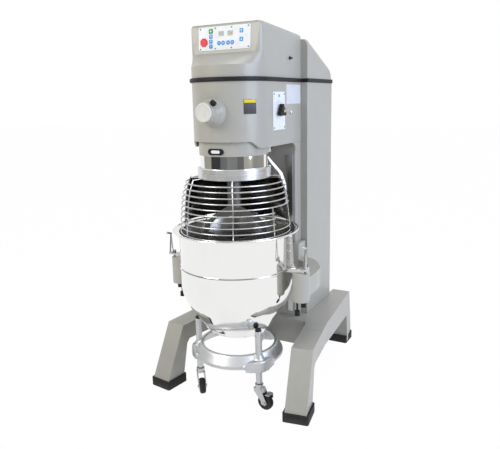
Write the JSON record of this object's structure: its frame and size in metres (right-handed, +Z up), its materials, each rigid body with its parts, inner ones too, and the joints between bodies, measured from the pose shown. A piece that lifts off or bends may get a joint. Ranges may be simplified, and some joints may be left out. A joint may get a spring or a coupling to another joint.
{
  "type": "commercial stand mixer",
  "caption": "Floor-standing planetary mixer with a splayed four-leg base, wire bowl guard, lifting yoke, removable steel bowl and a three-wheeled bowl dolly.",
  "frame": {"origin": "middle of the footprint on the floor", "axes": "+Z up, the bowl and controls face -Y, +X is on the right of someone who looks along +Y from the front"},
  "size_m": [0.8368, 1.1097, 1.6926],
  "materials": {
    "grey_paint": "smooth semi-gloss",
    "boot_rubber": "matt",
    "ground_way": "ground",
    "black_trim": "satin",
    "gear_steel": "machined",
    "shaft_steel": "turned",
    "panel_white": "semi-gloss",
    "display_grey": "glossy",
    "key_blue": "smooth",
    "stop_red": "smooth",
    "start_green": "smooth",
    "dark_screw": "blackened",
    "plate_pale": "semi-gloss",
    "window_black": "glossy",
    "cap_white": "smooth",
    "black_plastic": "satin",
    "polished_steel": "polished stainless",
    "collar_steel": "brushed stainless",
    "cage_wire": "bright",
    "cable_black": "matt",
    "motor_iron": "painted",
    "bearing_steel": "machined",
    "cast_alloy": "cast, burnished",
    "nut_bronze": "machined",
    "tip_rubber": "matt",
    "fork_zinc": "zinc plated",
    "wheel_black": "satin"
  },
  "bodies": {
    "frame": {"side_frame_left": "grey_paint", "side_frame_right": "grey_paint", "cross_box": "grey_paint", "foot_boots": "boot_rubber", "column_shell": "grey_paint", "column_cap": "grey_paint", "column_neck": "grey_paint", "slide_ways": "ground_way", "head_housing": "grey_paint", "head_cover": "grey_paint", "trim_strip": "black_trim", "head_skirt": "grey_paint", "ring_gear": "gear_steel", "control_plate": "panel_white", "display_windows": "display_grey", "key_pads": "key_blue", "plate_screws": "dark_screw", "hub_boss": "grey_paint", "shift_plate": "panel_white", "blank_plates": "plate_pale", "sensor_window": "window_black", "drip_ring": "polished_steel", "splash_shield": "polished_steel", "guard_stay": "polished_steel", "switch_cable": "cable_black", "drive_motor": "motor_iron", "lift_motor": "motor_iron", "shaft_bearings": "bearing_steel"},
    "carrier": {"planet_carrier": "gear_steel", "spindle": "shaft_steel", "bull_gear": "gear_steel"},
    "agitator": {"agitator_shaft": "shaft_steel", "beater": "cast_alloy"},
    "rotor": {"motor_pinion": "shaft_steel"},
    "guard": {"guard_collar": "collar_steel", "guard_cage": "cage_wire"},
    "yoke": {"yoke": "grey_paint", "yoke_pins": "shaft_steel", "yoke_plungers": "black_plastic", "lift_nut": "nut_bronze"},
    "screw": {"lift_screw": "shaft_steel"},
    "bowl": {"bowl_shell": "polished_steel", "bowl_ears": "cage_wire"},
    "clamp_left": {"clamp_left": "cage_wire"},
    "clamp_right": {"clamp_right": "cage_wire"},
    "dolly": {"dolly_ring": "cast_alloy", "dolly_tips": "tip_rubber"},
    "cap": {"hub_cap": "cap_white"},
    "thumbscrew": {"hub_screw": "black_plastic"},
    "shifter": {"shift_knob": "black_plastic", "shift_lever": "cage_wire"},
    "stop": {"stop_button": "stop_red"},
    "start": {"start_button": "start_green"},
    "latch": {"cover_latch": "black_plastic"},
    "caster_a": {"caster_fork_a": "fork_zinc"},
    "wheel_a": {"caster_wheel_a": "wheel_black"},
    "caster_b": {"caster_fork_b": "fork_zinc"},
    "wheel_b": {"caster_wheel_b": "wheel_black"},
    "caster_c": {"caster_fork_c": "fork_zinc"},
    "wheel_c": {"caster_wheel_c": "wheel_black"}
  },
  "joints": [
    {"name": "planetary_spin", "type": "hinge", "parent": "frame", "child": "carrier", "pos_m": [0, -0.267, 1.12], "axis": [0, 0, 1], "continuous": true},
    {"name": "agitator_spin", "type": "hinge", "parent": "carrier", "child": "agitator", "pos_m": [0.04225, -0.34647, 1.12], "axis": [0, 0, 1], "continuous": true},
    {"name": "motor_spin", "type": "hinge", "parent": "frame", "child": "rotor", "pos_m": [0, -0.107, 1.268], "axis": [0, 0, 1], "continuous": true},
    {"name": "guard_swing", "type": "hinge", "parent": "frame", "child": "guard", "pos_m": [0, -0.267, 1.06], "axis": [0, 0, 1], "range_deg": [-120, 0]},
    {"name": "bowl_lift", "type": "slide", "parent": "frame", "child": "yoke", "axis": [0, 0, 1], "range_m": [0, 0.12]},
    {"name": "lift_screw_spin", "type": "hinge", "parent": "frame", "child": "screw", "pos_m": [0, 0.097, 0.64], "axis": [0, 0, 1], "range_deg": [0, 2160]},
    {"name": "bowl_lift_off", "type": "slide", "parent": "yoke", "child": "bowl", "axis": [0, 0, 1], "range_m": [0, 0.025]},
    {"name": "clamp_left_swing", "type": "hinge", "parent": "yoke", "child": "clamp_left", "pos_m": [-0.352, -0.267, 0.65], "axis": [0, 0, -1], "range_deg": [-90, 0]},
    {"name": "clamp_right_swing", "type": "hinge", "parent": "yoke", "child": "clamp_right", "pos_m": [0.352, -0.267, 0.65], "axis": [0, 0, 1], "range_deg": [-90, 0]},
    {"name": "dolly_turn", "type": "hinge", "parent": "frame", "child": "dolly", "pos_m": [0, -0.267, 0.23], "axis": [0, 0, 1], "continuous": true},
    {"name": "caster_swivel_a", "type": "hinge", "parent": "dolly", "child": "caster_a", "pos_m": [0.15935, -0.37048, 0.12], "axis": [0, 0, 1], "continuous": true},
    {"name": "wheel_roll_a", "type": "hinge", "parent": "caster_a", "child": "wheel_a", "pos_m": [0.19302, -0.37521, 0.0375], "axis": [0.1392, 0.9903, 0], "continuous": true},
    {"name": "caster_swivel_b", "type": "hinge", "parent": "dolly", "child": "caster_b", "pos_m": [-0.16929, -0.35326, 0.12], "axis": [0, 0, 1], "continuous": true},
    {"name": "wheel_roll_b", "type": "hinge", "parent": "caster_b", "child": "wheel_b", "pos_m": [-0.14654, -0.37853, 0.0375], "axis": [0.7431, 0.6691, 0], "continuous": true},
    {"name": "caster_swivel_c", "type": "hinge", "parent": "dolly", "child": "caster_c", "pos_m": [0.00994, -0.07726, 0.12], "axis": [0, 0, 1], "continuous": true},
    {"name": "wheel_roll_c", "type": "hinge", "parent": "caster_c", "child": "wheel_c", "pos_m": [0.02694, -0.04782, 0.0375], "axis": [-0.866, 0.5, 0], "continuous": true},
    {"name": "hub_cap_pull", "type": "slide", "parent": "frame", "child": "cap", "axis": [0, -1, 0], "range_m": [0, 0.04]},
    {"name": "hub_screw_turn", "type": "hinge", "parent": "frame", "child": "thumbscrew", "pos_m": [0, -0.486, 1.331], "axis": [0.7071, 0, 0.7071], "continuous": true},
    {"name": "shift_turn", "type": "hinge", "parent": "frame", "child": "shifter", "pos_m": [0.1725, -0.163, 1.327], "axis": [1, 0, 0], "range_deg": [-30, 30]},
    {"name": "stop_press", "type": "slide", "parent": "frame", "child": "stop", "axis": [0, 0.9976, -0.0698], "range_m": [0, 0.001], "stiffness_N_per_m": 400},
    {"name": "start_press", "type": "slide", "parent": "frame", "child": "start", "axis": [0, 0.9976, -0.0698], "range_m": [0, 0.001], "stiffness_N_per_m": 400},
    {"name": "cover_latch_turn", "type": "hinge", "parent": "frame", "child": "latch", "pos_m": [0.1725, -0.041, 1.557], "axis": [1, 0, 0], "range_deg": [0, 90]}
  ],
  "couplings": [
    {"joint": "agitator_spin", "follows": "planetary_spin", "ratio": -3},
    {"joint": "motor_spin", "follows": "planetary_spin", "ratio": -3},
    {"joint": "lift_screw_spin", "follows": "bowl_lift", "rad_per_m": 314.16}
  ]
}
